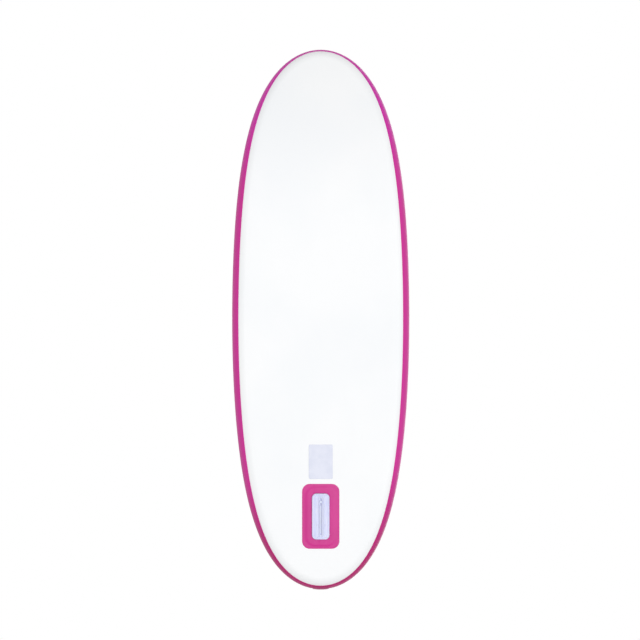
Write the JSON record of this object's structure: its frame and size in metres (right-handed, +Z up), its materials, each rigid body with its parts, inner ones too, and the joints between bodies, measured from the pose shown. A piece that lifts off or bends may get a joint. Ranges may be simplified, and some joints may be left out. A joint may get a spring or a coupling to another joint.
{
  "type": "stand-up paddle board",
  "caption": "Inflatable stand-up paddle board with rocker, wrapped rail band, slotted fin base, foam deck pads, carry handle, D-ring tie-downs and a push-in air valve.",
  "frame": {"origin": "on the floor under the middle of the board, which rests on the flat middle of its bottom", "axes": "+X to port, +Y to the tail, +Z up through the deck; the nose points to -Y"},
  "size_m": [0.8, 2.4416, 0.2687],
  "materials": {
    "core_fabric": "woven polyester, hidden",
    "white_pvc": "coated fabric, satin",
    "inner_pvc": "coated fabric, hidden",
    "magenta_pvc": "coated fabric, satin",
    "fin_pvc": "translucent moulded plastic",
    "pale_film": "bare film",
    "pad_foam": "grooved foam, matte",
    "webbing": "woven webbing",
    "grip_rubber": "soft foam rubber",
    "ring_steel": "polished stainless steel",
    "valve_plastic": "moulded plastic",
    "valve_pin": "moulded plastic",
    "seal_rubber": "soft rubber",
    "spring_steel": "drawn wire",
    "tether_plastic": "flexible moulded strap"
  },
  "bodies": {
    "board": {"drop_stitch_core": "core_fabric", "deck_skin": "white_pvc", "bottom_skin": "white_pvc", "rail_inner_band": "inner_pvc", "rail_band": "magenta_pvc", "tail_seam_patch": "magenta_pvc", "fin_base": "fin_pvc", "fin_track": "fin_pvc", "fin_patch": "magenta_pvc", "plain_film": "pale_film", "deck_pad_main": "pad_foam", "deck_pad_tail": "pad_foam", "handle_anchor_front": "magenta_pvc", "handle_anchor_rear": "magenta_pvc", "handle_strap": "webbing", "handle_grip": "grip_rubber", "front_port_patch": "magenta_pvc", "front_port_loop": "webbing", "front_starboard_patch": "magenta_pvc", "front_starboard_loop": "webbing", "mid_port_patch": "magenta_pvc", "mid_port_loop": "webbing", "mid_starboard_patch": "magenta_pvc", "mid_starboard_loop": "webbing", "leash_patch": "magenta_pvc", "leash_loop": "webbing", "valve_patch": "magenta_pvc", "valve_body": "valve_plastic", "valve_nut": "valve_plastic", "valve_spring": "spring_steel", "valve_tether": "tether_plastic"},
    "ring_front_port": {"front_port_ring": "ring_steel"},
    "ring_front_starboard": {"front_starboard_ring": "ring_steel"},
    "ring_mid_port": {"mid_port_ring": "ring_steel"},
    "ring_mid_starboard": {"mid_starboard_ring": "ring_steel"},
    "ring_leash": {"leash_ring": "ring_steel"},
    "cap_seal": {"valve_gasket": "seal_rubber"},
    "cap": {"valve_cap": "valve_plastic"},
    "diaphragm": {"valve_diaphragm": "seal_rubber"},
    "pin": {"valve_stem": "valve_pin"}
  },
  "joints": [
    {"name": "front_port_ring_swing", "type": "hinge", "parent": "board", "child": "ring_front_port", "pos_m": [0.15424, -0.84587, 0.17636], "axis": [0, 0.9716, -0.2368], "range_deg": [0, 180]},
    {"name": "front_starboard_ring_swing", "type": "hinge", "parent": "board", "child": "ring_front_starboard", "pos_m": [-0.15424, -0.84587, 0.17636], "axis": [0, -0.9716, 0.2368], "range_deg": [0, 180]},
    {"name": "mid_port_ring_swing", "type": "hinge", "parent": "board", "child": "ring_mid_port", "pos_m": [0.20739, -0.57403, 0.13211], "axis": [0, 0.9963, -0.0863], "range_deg": [0, 180]},
    {"name": "mid_starboard_ring_swing", "type": "hinge", "parent": "board", "child": "ring_mid_starboard", "pos_m": [-0.20739, -0.57403, 0.13211], "axis": [0, -0.9963, 0.0863], "range_deg": [0, 180]},
    {"name": "leash_ring_swing", "type": "hinge", "parent": "board", "child": "ring_leash", "pos_m": [0, 1.08431, 0.16357], "axis": [1, 0, 0], "range_deg": [0, 180]},
    {"name": "valve_cap_lift", "type": "slide", "parent": "board", "child": "cap_seal", "axis": [0, -0.0785, 0.9969], "range_m": [0, 0.03], "deforming": ["valve_tether"]},
    {"name": "valve_cap_turn", "type": "hinge", "parent": "cap_seal", "child": "cap", "pos_m": [0, 0.96333, 0.14956], "axis": [0, -0.0785, 0.9969], "range_deg": [0, 90]},
    {"name": "valve_pin_press", "type": "slide", "parent": "board", "child": "diaphragm", "axis": [0, 0.0785, -0.9969], "range_m": [0, 0.005], "stiffness_N_per_m": 1500, "springref_m": -0.002, "deforming": ["valve_spring"]},
    {"name": "valve_pin_turn", "type": "hinge", "parent": "diaphragm", "child": "pin", "pos_m": [0, 0.96333, 0.14956], "axis": [0, 0.0785, -0.9969], "range_deg": [0, 90]}
  ]
}
